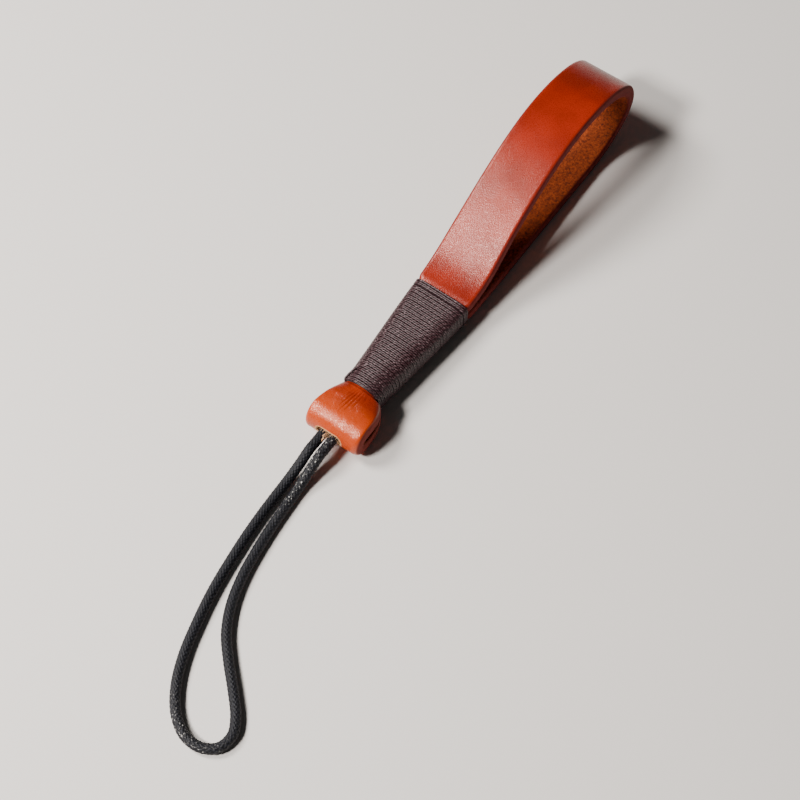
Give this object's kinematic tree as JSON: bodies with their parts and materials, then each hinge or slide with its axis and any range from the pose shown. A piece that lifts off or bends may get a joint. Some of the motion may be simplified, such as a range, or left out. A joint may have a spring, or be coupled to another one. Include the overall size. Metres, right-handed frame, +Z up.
{
  "type": "wristlet keychain",
  "caption": "Wristlet strap for keys: a looped leather strap bound with waxed thread to a folded leather end that holds a loop of braided cord.",
  "frame": {"origin": "on the surface the part lies on, under the middle of the leather part's length and width", "axes": "+X along the strap, from the cord loop towards the wrist loop; +Y across the strap's width; +Z up from the surface"},
  "size_m": [0.2436, 0.0428, 0.0337],
  "materials": {
    "strap_leather": "smooth, burnished, semi-gloss",
    "fold_leather": "smooth, creased, semi-gloss",
    "waxed_thread": "waxed twisted thread, low sheen",
    "waxed_cord": "waxed braid, low sheen"
  },
  "bodies": {
    "binding": {"binding_thread": "waxed_thread", "upper_strap_run": "strap_leather", "lower_strap_run": "strap_leather", "end_fold": "fold_leather", "left_cord_end": "waxed_cord", "right_cord_end": "waxed_cord"},
    "wrist_loop": {"wrist_strap": "strap_leather"},
    "cord_neck": {"left_cord_neck": "waxed_cord", "right_cord_neck": "waxed_cord"},
    "cord_loop": {"cord_loop": "waxed_cord"}
  },
  "joints": [
    {"name": "wrist_flex", "type": "hinge", "parent": "binding", "child": "wrist_loop", "pos_m": [-0.01255, 0, 0.00561], "axis": [0, -1, 0], "range_deg": [0, 35], "stiffness_Nm_per_rad": 0.5},
    {"name": "cord_sway", "type": "hinge", "parent": "binding", "child": "cord_neck", "pos_m": [-0.0745, 0, 0.0061], "axis": [0, 0, 1], "range_deg": [-20, 20]},
    {"name": "cord_lift", "type": "hinge", "parent": "cord_neck", "child": "cord_loop", "pos_m": [-0.079, 0, 0.0061], "axis": [0, 1, 0], "range_deg": [0, 80]}
  ]
}
